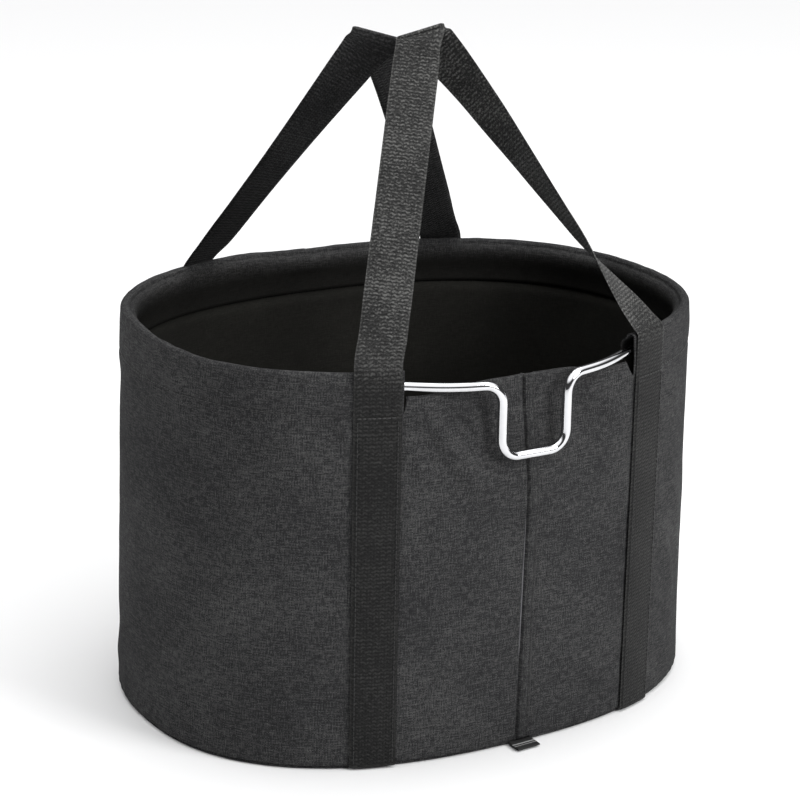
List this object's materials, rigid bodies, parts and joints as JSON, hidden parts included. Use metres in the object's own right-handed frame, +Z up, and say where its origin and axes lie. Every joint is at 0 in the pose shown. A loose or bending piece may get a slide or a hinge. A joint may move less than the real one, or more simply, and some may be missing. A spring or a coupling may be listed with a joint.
{
  "type": "carrying tub",
  "caption": "Oval open-topped cloth carrying bag with a wire-stiffened rim, a bent wire hanging loop at the front and webbing straps that rise into folded carrying handles.",
  "frame": {"origin": "centre of the underside, on the surface that the tub stands on", "axes": "+Z up, +X along the long side, -Y towards the front with the hanging loop and centre seam"},
  "size_m": [0.3896, 0.302, 0.4411],
  "materials": {
    "shell_cloth": "heathered charcoal woven polyester, coated inside",
    "lining_cloth": "matt black woven lining",
    "foam_sheet": "closed-cell foam sheet",
    "board": "black plastic board",
    "binding_tape": "woven tape",
    "bright_wire": "bright chrome-plated steel wire",
    "sleeve_metal": "plain steel tube",
    "webbing": "ribbed black webbing",
    "thread": "black sewing thread",
    "label_cloth": "plain woven label"
  },
  "bodies": {
    "bag": {"outer_shell": "shell_cloth", "wall_stiffener": "foam_sheet", "lining_wall": "lining_cloth", "front_facing": "lining_cloth", "front_edge_hem": "shell_cloth", "hem_tunnel": "shell_cloth", "base_cloth": "shell_cloth", "base_board": "board", "base_lining": "lining_cloth", "base_seam_binding": "binding_tape", "rim_wire": "bright_wire", "wire_sleeve": "sleeve_metal", "strap_front_left": "webbing", "strap_front_right": "webbing", "strap_rear_left": "webbing", "strap_rear_right": "webbing", "strap_edge_stitching": "thread", "anchor_stitching": "thread", "hem_stitching": "thread", "centre_seam_fell": "shell_cloth", "centre_seam_stitching": "thread", "side_label": "label_cloth"},
    "front_handle": {"front_handle_webbing": "webbing"},
    "rear_handle": {"rear_handle_webbing": "webbing"}
  },
  "joints": [
    {"name": "front_handle_swing", "type": "hinge", "parent": "bag", "child": "front_handle", "pos_m": [0, -0.143, 0.2545], "axis": [1, 0, 0], "range_deg": [0, 205]},
    {"name": "rear_handle_swing", "type": "hinge", "parent": "bag", "child": "rear_handle", "pos_m": [0, 0.143, 0.2545], "axis": [-1, 0, 0], "range_deg": [0, 205]}
  ]
}
